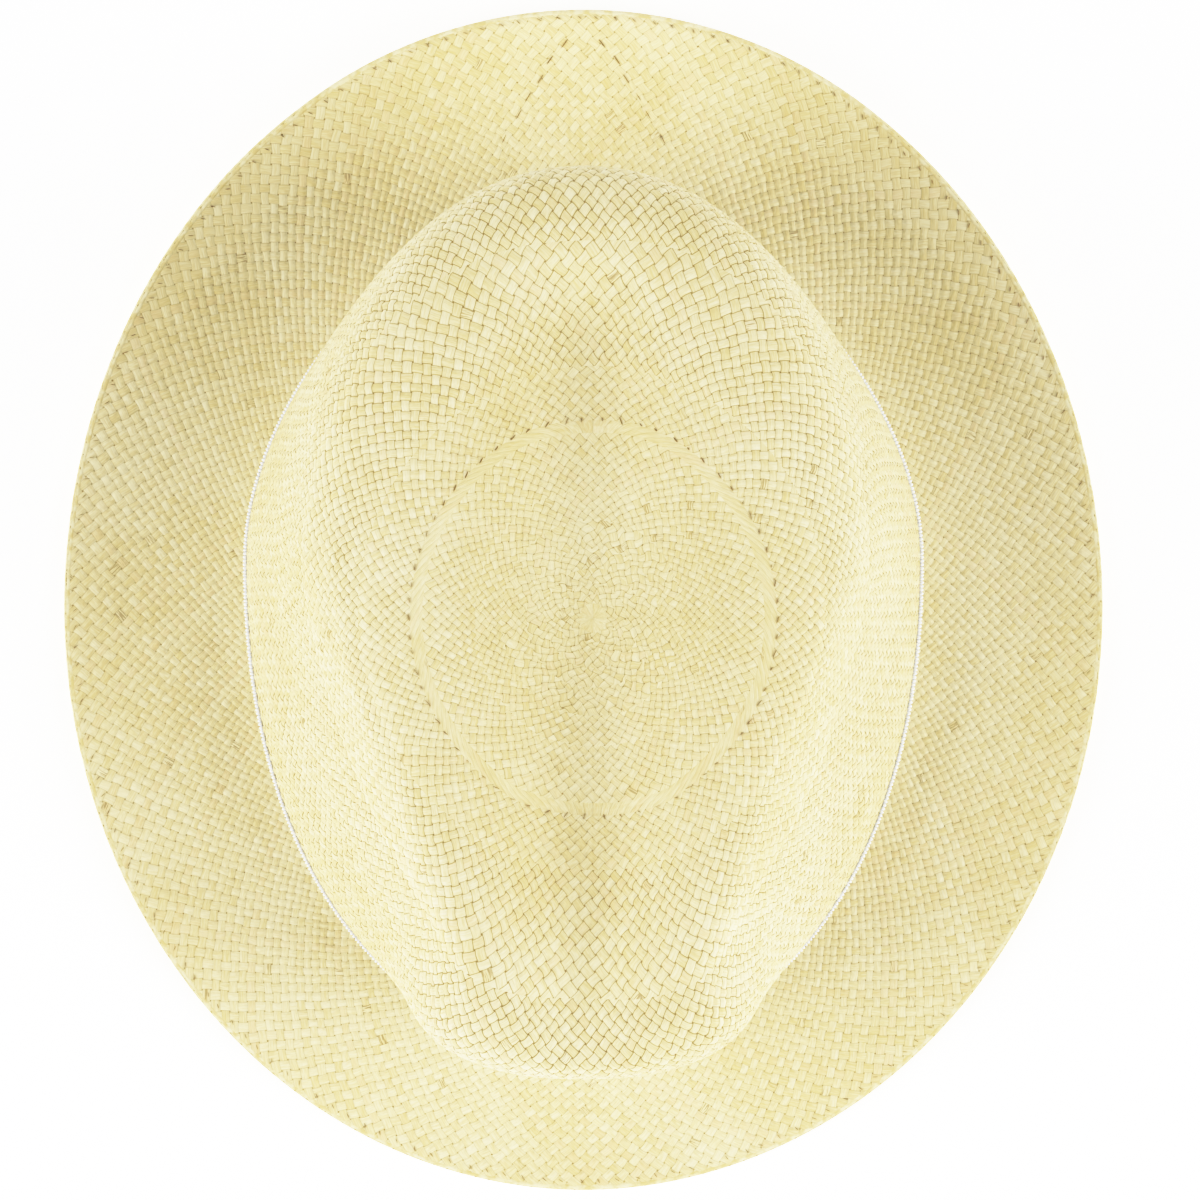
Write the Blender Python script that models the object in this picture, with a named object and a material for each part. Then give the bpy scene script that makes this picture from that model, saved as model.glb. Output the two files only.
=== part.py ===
"""Straw fedora: a woven straw crown and brim in one piece, with a ribbed ribbon round the crown.

Metres, +Z up. The hat stands on the plane z = 0 with its front towards -Y and its rear towards +Y.
The origin is below the middle of the brim.
"""

import math
from typing import NamedTuple

import bmesh
import bpy
from mathutils import Vector

# Driving dimensions of the straw
STRAW_WALL = 0.0016
BRIM_FRONT = -0.1528
BRIM_REAR = 0.1518
BRIM_WIDTH = 0.2690
COLUMNS = 64

# The crown's foot, and the top of its wall, as reached from the middle of the brim
FOOT_FRONT = -0.1040
FOOT_REAR = 0.1020
FOOT_HALF_WIDTH = 0.0840
TOP_FRONT = -0.1096
TOP_REAR = 0.1026
ROOF_HEIGHT = 0.1140

# The long dent that is pressed into the roof of the crown, deepest along the hat's middle.
# It fades out down the wall, from DENT_FULL_HEIGHT to DENT_FOOT_HEIGHT.
DENT_FRONT = -0.1120
DENT_REAR = 0.0800
DENT_WIDEST = 0.0100
DENT_HALF_WIDTH = 0.0400
DENT_END_SHARE = 0.26
DENT_END_POWER = 4
DENT_DEPTH = 0.0205
DENT_FULL_HEIGHT = 0.1040
DENT_FOOT_HEIGHT = 0.0800

# The faces that are pressed into both sides of the crown's front. Each rises straight from the ribbon's top
# to a ridge on the roof, which runs straight and nearer the hat's middle towards the front.
PRESSED_FOOT_HEIGHT = 0.0455
PRESSED_RIDGE_HEIGHT = 0.1050
RIDGE_REACH = 0.0581
RIDGE_NARROWING = 0.3576
PRESSED_FADE = 0.0080
PRESSED_ROUNDING = 0.0014
PRESSED_FRONT = -0.0800
PRESSED_NOSE = -0.1000

# The ribbon round the foot of the crown, and the end that laps over it at the rear
RIBBON_THICKNESS = 0.0012
RIBBON_GAP = 0.0003
LAP_THICKNESS = 0.0007
LAP_START = math.radians(86.2)
LAP_END = math.radians(93.8)
LAP_STEP = math.radians(0.12)

STRAW_COLOUR = (0.80, 0.72, 0.45)
STRAW_ROUGHNESS = 0.62
RIBBON_COLOUR = (0.92, 0.92, 0.92)
RIBBON_ROUGHNESS = 0.55
SHARP_ANGLE = math.radians(50.0)
SHORTEST = 1e-6
UP = Vector((0.0, 0.0, 1.0))


class Section(NamedTuple):
    """One closed curve of the hat's upper and outer face, seen from above as a rounded oval.

    front and rear are the curve's ends in Y, half_width is its reach in X at middle, and the three
    heights are those of its front, its sides and its rear. A roundness of 2 gives an ellipse and less
    gives more pointed ends. steps is the number of rings from this section to the next one.
    """

    name: str
    front: float
    rear: float
    middle: float
    half_width: float
    front_height: float
    side_height: float
    rear_height: float
    front_roundness: float
    rear_roundness: float
    steps: int


# From the middle of the crown's roof, before it is dented, down the wall and out to the brim's edge.
# A height below STRAW_WALL is levelled there, where the brim lies flat on what the hat stands on.
SECTIONS = (
    Section("roof_middle", -0.0300, 0.0290, 0.0, 0.0150, 0.1128, 0.1135, 0.1125, 2.00, 2.00, 2),
    Section("roof_inner", -0.0600, 0.0540, 0.0010, 0.0290, 0.1110, 0.1122, 0.1095, 2.05, 2.00, 3),
    Section("roof_outer", -0.0900, 0.0810, 0.0030, 0.0440, 0.1074, 0.1098, 0.1078, 2.20, 2.05, 2),
    Section("crown_edge", -0.1055, 0.0980, 0.0040, 0.0568, 0.1008, 0.1048, 0.1045, 2.60, 2.15, 1),
    Section("crown_turn", -0.1080, 0.1010, 0.0050, 0.0630, 0.0955, 0.0980, 0.0990, 2.60, 2.12, 2),
    Section("shoulder", TOP_FRONT, TOP_REAR, 0.0060, 0.0680, 0.0870, 0.0875, 0.0885, 2.60, 2.08, 2),
    Section("wall", -0.1090, 0.1030, 0.0100, 0.0763, 0.0660, 0.0670, 0.0660, 2.40, 1.92, 2),
    Section("ribbon_top", -0.1075, 0.1020, 0.0140, 0.0834, 0.0455, 0.0440, 0.0425, 2.22, 1.73, 1),
    Section("ribbon_middle", -0.1055, 0.1020, 0.0140, 0.0838, 0.0280, 0.0265, 0.0250, 2.22, 1.75, 1),
    Section("ribbon_foot", FOOT_FRONT, FOOT_REAR, 0.0130, FOOT_HALF_WIDTH,
            0.0115, 0.0100, 0.0085, 2.22, 1.78, 1),
    Section("break", -0.1056, 0.1033, 0.0130, 0.0853, 0.0070, 0.0053, 0.0036, 2.22, 1.78, 1),
    Section("brim_root", -0.1095, 0.1070, 0.0120, 0.0892, 0.0053, 0.0036, 0.0004, 2.20, 1.80, 2),
    Section("brim_inner", -0.1200, 0.1190, 0.0080, 0.0997, 0.0046, 0.0031, 0.0004, 2.15, 1.85, 2),
    Section("brim_middle", -0.1370, 0.1360, 0.0030, 0.1175, 0.0032, 0.0046, 0.0085, 2.06, 1.95, 2),
    Section("brim_edge", BRIM_FRONT, BRIM_REAR, 0.0, BRIM_WIDTH / 2, 0.0012, 0.0090, 0.0210, 2.00, 2.00, 0),
)
RIBBON_SECTIONS = ("ribbon_top", "ribbon_middle", "ribbon_foot")


def smooth_share(value, start, end):
    """0 before start, 1 past end and a smooth step between."""
    share = min(max((value - start) / (end - start), 0.0), 1.0)
    return share * share * (3.0 - 2.0 * share)


def ribbon_reach(y):
    """The reach in X of the ribbon's top at a place along the hat."""
    section = next(section for section in SECTIONS if section.name == "ribbon_top")
    if y >= section.middle:
        end, roundness = section.rear, section.rear_roundness
    else:
        end, roundness = section.front, section.front_roundness
    along = min((y - section.middle) / (end - section.middle), 1.0)
    return section.half_width * (1.0 - along ** roundness) ** (1.0 / roundness)


def pressed(point):
    """The point drawn in to the pressed face where it would stand out past it."""
    strength = smooth_share(point.z, PRESSED_FOOT_HEIGHT, PRESSED_FOOT_HEIGHT + PRESSED_FADE)
    strength *= smooth_share(point.y, PRESSED_NOSE, PRESSED_FRONT)
    if strength == 0.0:
        return point
    up = (point.z - PRESSED_FOOT_HEIGHT) / (PRESSED_RIDGE_HEIGHT - PRESSED_FOOT_HEIGHT)
    foot = ribbon_reach(point.y)
    face = foot + (RIDGE_REACH + RIDGE_NARROWING * point.y - foot) * up
    past = (abs(point.x) - face) / PRESSED_ROUNDING
    drawn_in = PRESSED_ROUNDING * (max(past, 0.0) + math.log1p(math.exp(-abs(past))))
    reach = abs(point.x) - strength * min(drawn_in, abs(point.x))
    return Vector((math.copysign(reach, point.x), point.y, point.z))


def dented(point):
    """The point lowered where the long dent passes it."""
    end = DENT_REAR if point.y > DENT_WIDEST else DENT_FRONT
    along = min((point.y - DENT_WIDEST) / (end - DENT_WIDEST), 1.0)
    width = DENT_HALF_WIDTH * (DENT_END_SHARE + (1.0 - DENT_END_SHARE) * (1.0 - along ** 2))
    across = min(abs(point.x) / width, 1.0)
    up = (point.z - DENT_FOOT_HEIGHT) / (DENT_FULL_HEIGHT - DENT_FOOT_HEIGHT)
    fade = min(max(up, 0.0), 1.0)
    depth = DENT_DEPTH * fade * (1.0 - along ** DENT_END_POWER) * (1.0 - across ** 2) ** 2
    return point - UP * depth


def section_point(section, angle):
    """The place on a section at an angle that runs from +X through the rear."""
    across = math.cos(angle)
    along = math.sin(angle)
    if along >= 0.0:
        end, roundness, height = section.rear, section.rear_roundness, section.rear_height
    else:
        end, roundness, height = section.front, section.front_roundness, section.front_height
    x = math.copysign(section.half_width * abs(across) ** (2.0 / roundness), across)
    y = section.middle + (end - section.middle) * abs(along) ** (2.0 / roundness)
    z = section.side_height + (height - section.side_height) * along ** 2
    return pressed(Vector((x, y, z)))


def smooth_between(before, start, end, after, share):
    """A point between start and end on the smooth curve that runs through all four points."""
    length = max((end - start).length, SHORTEST)
    before_length = max((start - before).length, SHORTEST)
    after_length = max((after - end).length, SHORTEST)
    direction = (end - start) / length
    leave = (start - before) / before_length * length + direction * before_length
    leave *= length / (before_length + length)
    arrive = direction * after_length + (after - end) / after_length * length
    arrive *= length / (after_length + length)
    square = share * share
    cube = square * share
    from_start = start * (2.0 * cube - 3.0 * square + 1.0) + leave * (cube - 2.0 * square + share)
    from_end = end * (3.0 * square - 2.0 * cube) + arrive * (cube - square)
    return from_start + from_end


def profile(angle):
    """The hat's outer face along one column, from the middle of the crown out to the brim's edge."""
    points = [section_point(section, angle) for section in SECTIONS]
    opposite = section_point(SECTIONS[0], angle + math.pi)
    beyond = points[-1] * 2.0 - points[-2]
    line = [opposite, UP * ROOF_HEIGHT] + points + [beyond]
    steps = [1] + [section.steps for section in SECTIONS]
    column = []
    for index in range(1, len(line) - 2):
        for step in range(steps[index - 1]):
            share = step / steps[index - 1]
            column.append(smooth_between(*line[index - 1:index + 3], share))
    column.append(points[-1])
    column = [dented(point) for point in column]
    return [Vector((point.x, point.y, max(point.z, STRAW_WALL))) for point in column]


def under_face(columns):
    """The points under the outer face's rings, one wall's thickness in along the wall's own direction."""
    count = len(columns)
    under = []
    for index, column in enumerate(columns):
        ahead = columns[(index + 1) % count]
        behind = columns[index - 1]
        line = [column[0] - UP * STRAW_WALL]
        for ring in range(1, len(column)):
            outer = column[min(ring + 1, len(column) - 1)]
            along = outer - column[ring - 1]
            outward = along.cross(ahead[ring] - behind[ring]).normalized()
            point = column[ring] - outward * STRAW_WALL
            if column[ring].z <= STRAW_WALL:
                point.z = 0.0
            line.append(point)
        under.append(line)
    return under


def bridge(bm, first, second):
    """Faces between two closed rings of the same number of corners."""
    count = len(first)
    for index in range(count):
        following = (index + 1) % count
        bm.faces.new((first[index], first[following], second[following], second[index]))


def dome(bm, columns):
    """Faces over columns that start from one shared point, and the ring of corners that they end on."""
    centre = bm.verts.new(columns[0][0])
    ring = [bm.verts.new(column[1]) for column in columns]
    for index, corner in enumerate(ring):
        bm.faces.new((corner, ring[(index + 1) % len(ring)], centre))
    for level in range(2, len(columns[0])):
        following = [bm.verts.new(column[level]) for column in columns]
        bridge(bm, ring, following)
        ring = following
    return ring


def finish(name, colour, roughness):
    """A plain finish of one colour."""
    material = bpy.data.materials.new(name)
    material.use_nodes = True
    shader = material.node_tree.nodes["Principled BSDF"]
    shader.inputs["Base Color"].default_value = (*colour, 1.0)
    shader.inputs["Roughness"].default_value = roughness
    shader.inputs["Metallic"].default_value = 0.0
    return material


def new_object(name, bm, material):
    """A named object with its own finish, made from a closed bmesh."""
    bmesh.ops.recalc_face_normals(bm, faces=bm.faces)
    mesh = bpy.data.meshes.new(name)
    bm.to_mesh(mesh)
    bm.free()
    mesh.materials.append(material)
    mesh.shade_smooth()
    mesh.set_sharp_from_angle(angle=SHARP_ANGLE)
    part = bpy.data.objects.new(name, mesh)
    bpy.context.scene.collection.objects.link(part)
    return part


def straw_body():
    """The woven straw: crown, brim and edge as one wall, open below for the head."""
    columns = [profile(math.tau * index / COLUMNS) for index in range(COLUMNS)]
    bm = bmesh.new()
    outer_edge = dome(bm, columns)
    inner_edge = dome(bm, under_face(columns))
    bridge(bm, outer_edge, inner_edge)
    return new_object("straw_body", bm, finish("straw", STRAW_COLOUR, STRAW_ROUGHNESS))


def hat_band():
    """The ribbon, an upright band that follows the crown's foot, with its end lapped at the rear."""
    sections = [section for section in SECTIONS if section.name in RIBBON_SECTIONS]
    angles = [math.tau * index / COLUMNS for index in range(COLUMNS)]
    angles += [LAP_START, LAP_START + LAP_STEP, LAP_END, LAP_END + LAP_STEP]
    bm = bmesh.new()
    rings = [[] for _ in range(2 * len(sections))]
    for angle in sorted(angles):
        lapped = LAP_START < angle <= LAP_END
        thickness = RIBBON_THICKNESS + (LAP_THICKNESS if lapped else 0.0)
        along = section_point(sections[1], angle + LAP_STEP) - section_point(sections[1], angle - LAP_STEP)
        outward = along.cross(UP).normalized()
        back = [section_point(section, angle) + outward * RIBBON_GAP for section in sections]
        face = [point + outward * thickness for point in reversed(back)]
        for ring, point in zip(rings, back + face):
            ring.append(bm.verts.new(point))
    for index, ring in enumerate(rings):
        bridge(bm, ring, rings[(index + 1) % len(rings)])
    return new_object("hat_band", bm, finish("ribbon", RIBBON_COLOUR, RIBBON_ROUGHNESS))


def main():
    for leftover in list(bpy.data.objects):
        bpy.data.objects.remove(leftover, do_unlink=True)
    straw_body()
    hat_band()


main()
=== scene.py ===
"""Straw fedora: the woven straw, its rolled edge and the ribbed ribbon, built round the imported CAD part."""

import functools
import math
from types import SimpleNamespace

import bmesh
import bpy
import numpy as np
from bpy.props import FloatProperty, FloatVectorProperty, IntProperty, PointerProperty
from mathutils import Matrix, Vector


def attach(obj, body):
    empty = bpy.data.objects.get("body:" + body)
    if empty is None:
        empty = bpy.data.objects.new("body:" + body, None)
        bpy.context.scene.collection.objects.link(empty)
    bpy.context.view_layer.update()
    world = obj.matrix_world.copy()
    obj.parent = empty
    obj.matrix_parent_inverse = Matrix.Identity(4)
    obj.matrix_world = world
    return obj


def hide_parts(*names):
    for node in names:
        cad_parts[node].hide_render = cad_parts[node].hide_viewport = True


bl_info = {
    "name": "Straw Fedora",
    "version": (1, 0, 0),
    "blender": (4, 5, 0),
    "location": "3D View > Sidebar > Fedora",
    "description": "Weaves the straw, the edge and the ribbon of a fedora over its CAD frame",
    "category": "Object",
}

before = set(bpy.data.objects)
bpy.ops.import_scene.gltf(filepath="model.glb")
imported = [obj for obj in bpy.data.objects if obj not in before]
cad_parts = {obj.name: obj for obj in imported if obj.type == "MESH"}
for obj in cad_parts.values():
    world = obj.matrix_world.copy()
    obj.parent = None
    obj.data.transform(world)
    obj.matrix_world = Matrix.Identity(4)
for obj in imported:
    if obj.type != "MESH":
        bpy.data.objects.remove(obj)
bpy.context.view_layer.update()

# The middle of the rosette that the weave starts from, and how finely the hat's form is read from the frame
ROSETTE = np.array([0.0022, -0.0023])
AZIMUTHS = 720
STATIONS = 420
SMOOTH_AZIMUTHS = 6.0
SMOOTH_STATIONS = 3.0
STRAW_WALL = 0.0016

# A line down the outer face ends at the brim's edge, which is where it runs out by less than EDGE_TURN of its
# length, past BRIM_FROM
BRIM_FROM = 0.11
EDGE_TURN = 0.55

# How wide a sector gives the band's height at an azimuth, and how many azimuths smooth it
BAND_SECTOR = math.radians(6.0)
SMOOTH_BAND = 12.0

# The weave runs in rounds. Up to level 1 they are circles round the rosette, FLAT_REACH out along the straw.
# From level 1 to 2 they go on to the middle of the ribbon, and from 2 to 3 out to the edge of the brim.
FLAT_REACH = 0.058
FOOT_HEIGHT = 0.027
LEVEL_SAMPLES = 160

# The columns go over from even angles to even lengths between the first two levels, and the crown's top ends at
# the third. The knot reaches this far out.
EVEN_FROM = 0.75
EVEN_AT = 1.15
CROWN_SPLIT = 1.40
KNOT_REACH = 0.0034

# Zones of the weave: name, strands of each family, first and last level, whether one family lies on top in
# long strands, how far those lean, in strands, and how open the weave is, which sets how dark the painted
# shade in its lines and holes is
ZONES = (
    ("knot", 12, 0.0045, KNOT_REACH / FLAT_REACH, True, 0.0, 0.0),
    ("first_rounds", 14, KNOT_REACH / FLAT_REACH, 0.095, False, 0.0, 1.2),
    ("second_rounds", 20, 0.095, 0.138, False, 0.0, 1.2),
    ("third_rounds", 28, 0.138, 0.198, False, 0.0, 1.2),
    ("fourth_rounds", 38, 0.198, 0.276, False, 0.0, 1.1),
    ("fifth_rounds", 52, 0.276, 0.388, False, 0.0, 1.0),
    ("sixth_rounds", 68, 0.388, 0.509, False, 0.0, 0.9),
    ("seventh_rounds", 88, 0.509, 0.735, False, 0.0, 0.8),
    ("ring", 116, 0.735, 0.785, True, 2.6, 0.3),
    ("last_rounds", 116, 0.785, 1.0, False, 0.0, 0.9),
    ("upper_wall", 136, 1.0, 1.25, False, 0.0, 1.6),
    ("wall", 176, 1.25, 2.0, False, 0.0, 2.4),
    ("brim", 240, 2.0, 3.0, False, 0.0, 0.4),
)
UNDER_ZONES = (
    ("knot", 12, 0.0045, KNOT_REACH / FLAT_REACH, True, 0.0, 0.0),
    ("first_rounds", 28, KNOT_REACH / FLAT_REACH, 0.20, False, 0.0, 1.0),
    ("second_rounds", 52, 0.20, 0.40, False, 0.0, 0.8),
    ("third_rounds", 100, 0.40, 1.0, False, 0.0, 0.8),
    ("wall", 176, 1.0, 2.0, False, 0.0, 0.8),
    ("brim", 240, 2.0, 3.0, False, 0.0, 0.6),
)

# The width of a woven and of a long strand, as shares of its room
STRAND_WIDTH = 0.86
LONG_WIDTH = 0.96

# Zones of long strands: rows of the ring and of the knot, pitches from end to end, how sharply the ring's lean
# changes from one side of the hat to the other, and their relief beside that of the weave
RING_ROWS = 13
KNOT_ROWS = 7
LONG_RUN = 4.0
LEAN_CHANGE = 3.0
LONG_RELIEF = 0.3
MIDDLE_STEPS = 4

# Relief grows with the strands up to this pitch. It is lower on the inner face and fades out over the first and
# last strands of a zone, round the rosette and at large. It stops at the ribbon's top and foot.
RELIEF_PITCH = 0.0021
UNDER_RELIEF = 0.7
INNER_BORDER = 0.4
BORDER = 0.75
RIBBON_TOP_FADE = (-0.0005, 0.0012)
RIBBON_FOOT_FADE = (-0.0004, 0.0008)

# How far hand-laid strands stray, in strands, and how fast: in the weave at large, and round the rosette
SWAY = (0.12, 1.0)
INNER_SWAY = (0.34, 1.8)
INNER_LEVEL = 0.4

# The dark dashes on one side of the rear brim, from the edge down to the crown, as distances from the middle
# line and from the middle of the hat, with their lean, and their length and width as shares of a full slit's
SEAM_DASHES = np.array([[0.0048, 0.1444], [0.0086, 0.1407], [0.0111, 0.1363], [0.0143, 0.1321],
                        [0.0168, 0.1279], [0.0206, 0.1218]])
DASH_LEAN = 0.62
DASH_LENGTH = 1.5
DASH_WIDTH = 0.65

# The slits beside the ring: how many, how far out along the straw, and how far they stray and lean. The
# stitches on the edge stray less. The last number is how high all of them are, beside their radius.
RING_SLITS = 66
RING_REACH = 0.0457
SLIT_STRAY = 0.012
SLIT_LEAN = math.radians(74.0)
STITCH_STRAY = 0.004
SLIT_HEIGHT = 1.6

# The rolled edge's middle lies this far in from the edge, square to the straw a little further in
EDGE_INSET = 0.0007
EDGE_NORMAL_INSET = 0.0015
EDGE_SIDES = 12

# The ribbon is traced this far up and down from the crown's foot. Its rows lie at these shares of the way from
# its top to its foot, the first of them less full. Then the height of its pattern, its columns to each rib, the
# columns from one traced line to the next, and where its lapped end starts at the rear.
RIBBON_TRACE = (-0.030, 0.026)
RIBBON_SHARES = np.concatenate([[0.0, 0.010, 0.026], np.linspace(0.1, 1.0, 8)])
RIBBON_FULLNESS = np.concatenate([[0.35, 0.80], np.ones(len(RIBBON_SHARES) - 2)])
RIBBON_PATTERN = 0.034
RIB_STEPS = 4
TRACE_STEP = 8
LAP_FROM = math.radians(4.1)
LAP_FULL = math.radians(3.9)

# How bright a tone each amount of light gives, up to TONES_TOP, where it is white
TONES = ((0.25, 0.22), (0.50, 0.54), (0.75, 0.80), (1.00, 0.93), (1.25, 0.98))
TONES_TOP = 1.5

# Pairs of lamps: name, degrees from the hat's front to either side, degrees over the floor, power setting.
# They look at a point over the middle of the floor.
LAMPS = (
    ("front_lamp", 45.0, 12.0, "front_power"),
    ("side_lamp", 78.0, 32.0, "side_power"),
    ("high_lamp", 78.0, 55.0, "high_power"),
    ("rear_lamp", 165.0, 25.0, "rear_power"),
)
LAMP_AIM = 0.05
FLOOR_REACH = 3.0
FLOOR_DROP = 0.00005

# The picture is a little off the hat's middle, by this share of its width and by this much along the hat
PICTURE_SHIFT = 16.6 / 1200.0
CAMERA_ALONG = 0.0019
SENSOR = 36.0


class Nodes:
    """Adds nodes to a tree, of a material or of Geometry Nodes, and joins them as it goes."""

    def __init__(self, tree):
        self.tree = tree

    def put(self, socket, value):
        """Joins a socket to another one, or sets it."""
        if isinstance(value, bpy.types.NodeSocket):
            self.tree.links.new(value, socket)
        elif value is not None:
            socket.default_value = value

    def add(self, kind, *values, sockets=None, **settings):
        """A node with its settings, and with what goes into its first sockets and into named ones."""
        node = self.tree.nodes.new(kind)
        for name, value in settings.items():
            setattr(node, name, value)
        for socket, value in zip(node.inputs, values):
            self.put(socket, value)
        for name, value in (sockets or {}).items():
            self.put(node.inputs[name], value)
        return node

    def math(self, operation, *values):
        return self.add("ShaderNodeMath", *values, operation=operation).outputs[0]

    def blend(self, start, end, share):
        """start where share is 0, and end where it is 1."""
        return self.math("MULTIPLY_ADD", self.math("SUBTRACT", end, start), share, start)

    def weighed(self, *values_and_shares):
        """The sum of values, each by its share."""
        (value, share), *rest = values_and_shares
        total = self.math("MULTIPLY", value, share)
        for value, share in rest:
            total = self.math("MULTIPLY_ADD", value, share, total)
        return total

    def ramp(self, value, low, high):
        """0 at low and 1 at high, smooth between, whichever of the two is greater."""
        return self.add("ShaderNodeMapRange", value, interpolation_type="SMOOTHSTEP", sockets={
            "From Min": low, "From Max": high, "To Min": 0.0, "To Max": 1.0}).outputs["Result"]

    def tint(self, start, end, share):
        """One colour turned into another by a share."""
        node = self.add("ShaderNodeMix", data_type="RGBA", sockets={"Factor": share})
        for name, value in (("A", start), ("B", end)):
            socket = next(s for s in node.inputs if s.name == name and s.type == "RGBA")
            self.put(socket, value if isinstance(value, bpy.types.NodeSocket) else (*value, 1.0))
        return next(s for s in node.outputs if s.type == "RGBA")

    def noise(self, place, scale, detail, roughness=0.5):
        """Soft noise over a place."""
        return self.add("ShaderNodeTexNoise", place, noise_dimensions="3D", sockets={
            "Scale": scale, "Detail": detail, "Roughness": roughness}).outputs["Fac"]

    def chance(self, *place):
        """A random value for each whole place."""
        place = self.add("ShaderNodeCombineXYZ", *place).outputs[0]
        return self.add("ShaderNodeTexWhiteNoise", place, noise_dimensions="3D").outputs["Value"]

    def bump(self, height, strength=1.0):
        """The shading of fine relief, given by its height."""
        return self.add("ShaderNodeBump", sockets={
            "Strength": strength, "Distance": 1.0, "Height": height}).outputs[0]

    def stored(self, name, kind="FLOAT"):
        """What a Geometry Nodes mesh carries under a name."""
        return self.add("GeometryNodeInputNamedAttribute", name, data_type=kind).outputs[0]

    def carried(self, name):
        """What a shaded mesh carries under a name."""
        return self.add("ShaderNodeAttribute", attribute_name=name).outputs["Fac"]

    def moved(self, geometry, direction, amount):
        """A mesh whose points are moved by an amount along a direction."""
        offset = self.add("ShaderNodeVectorMath", direction, operation="SCALE", sockets={"Scale": amount})
        return self.add("GeometryNodeSetPosition", geometry, None, None, offset.outputs[0]).outputs[0]

    def finish(self, geometry, material):
        """Ends a Geometry Nodes tree in real, finished faces."""
        real = self.add("GeometryNodeRealizeInstances", geometry).outputs[0]
        done = self.add("GeometryNodeSetMaterial", real, None, material).outputs[0]
        self.add("NodeGroupOutput", done)
        return self.tree


def strand_fields(nodes, first, second, long_strands):
    """What a point in the weave shows, from its places across the two families of strands.

    A strand passes over and under by turns and is narrower than its room, so that beside it the strand that
    it crosses comes into view, and at each corner a hole. Where long_strands is 1 the first family lies on
    top all over. across is 0 in the middle of the strand that shows and 1 at its sides, and along is 0 in the
    middle of its crossing and about 0.6 where it dips under the next one.
    """
    whole_first = nodes.math("FLOOR", first)
    whole_second = nodes.math("FLOOR", second)
    part_first = nodes.math("SUBTRACT", nodes.math("SUBTRACT", first, whole_first), 0.5)
    part_second = nodes.math("SUBTRACT", nodes.math("SUBTRACT", second, whole_second), 0.5)
    woven = nodes.math("SUBTRACT", 1.0, long_strands)
    odd = nodes.math("FLOORED_MODULO", nodes.math("ADD", whole_first, whole_second), 2.0)
    odd = nodes.math("MULTIPLY", odd, woven)
    top_side = nodes.blend(part_first, part_second, odd)
    low_side = nodes.blend(part_second, part_first, odd)
    top_off = nodes.math("ABSOLUTE", top_side)
    low_off = nodes.math("ABSOLUTE", low_side)
    half = nodes.blend(STRAND_WIDTH / 2, LONG_WIDTH / 2, long_strands)
    beside = nodes.math("MULTIPLY", nodes.math("GREATER_THAN", top_off, half), woven)
    hole = nodes.math("MULTIPLY", beside, nodes.math("GREATER_THAN", low_off, half))
    second_shows = nodes.math("ABSOLUTE", nodes.math("SUBTRACT", odd, beside))
    next_one = nodes.math("MULTIPLY", beside, nodes.math("SIGN", top_side))
    next_first = nodes.math("MULTIPLY", next_one, nodes.math("SUBTRACT", 1.0, odd))
    across = nodes.math("DIVIDE", nodes.blend(top_off, low_off, beside), half)
    along = nodes.blend(low_off, nodes.math("SUBTRACT", 1.0, top_off), beside)
    return {
        "across": nodes.math("MINIMUM", across, 1.0),
        "side": nodes.blend(top_side, low_side, beside),
        "along": nodes.math("MULTIPLY", along, woven),
        "hole": hole,
        "second_shows": second_shows,
        "first_number": nodes.math("ADD", whole_first, next_first),
        "second_number": nodes.math("ADD", whole_second, nodes.math("MULTIPLY", next_one, odd)),
    }


def off_middle(nodes, part):
    """0 in the middle of a rib and 1 at its borders."""
    return nodes.math("ABSOLUTE", nodes.math("MULTIPLY_ADD", part, 2.0, -1.0))


def smooth_step(value, low, high):
    """0 at low and 1 at high, smooth between, whichever of the two is greater."""
    share = np.clip((value - low) / (high - low), 0.0, 1.0)
    return share * share * (3.0 - 2.0 * share)


def sway(points, most, pace):
    """How far a hand-laid strand of each family strays to the side at a point, in strands."""
    x, y, z = np.moveaxis(points, -1, 0) * (1000.0 * pace)
    first = (np.sin(0.61 * x + 0.23 * y + 0.4 * z)
             + np.sin(0.17 * x - 0.52 * y + 1.3) * np.sin(0.9 * y + 0.3 * z))
    second = (np.sin(0.19 * x - 0.57 * y - 0.5 * z + 2.1)
              + np.sin(0.71 * x + 0.33 * y) * np.sin(0.4 * x + 0.2 * z))
    return 0.5 * most * first, 0.5 * most * second


def merged_copy(node):
    """The points and triangles of a CAD node, with the points that its triangles share made one."""
    bm = bmesh.new()
    bm.from_mesh(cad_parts[node].data)
    bmesh.ops.remove_doubles(bm, verts=bm.verts, dist=1e-6)
    bm.verts.index_update()
    points = np.array([vertex.co for vertex in bm.verts])
    triangles = np.array([[vertex.index for vertex in face.verts] for face in bm.faces])
    bm.free()
    return points, triangles


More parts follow.
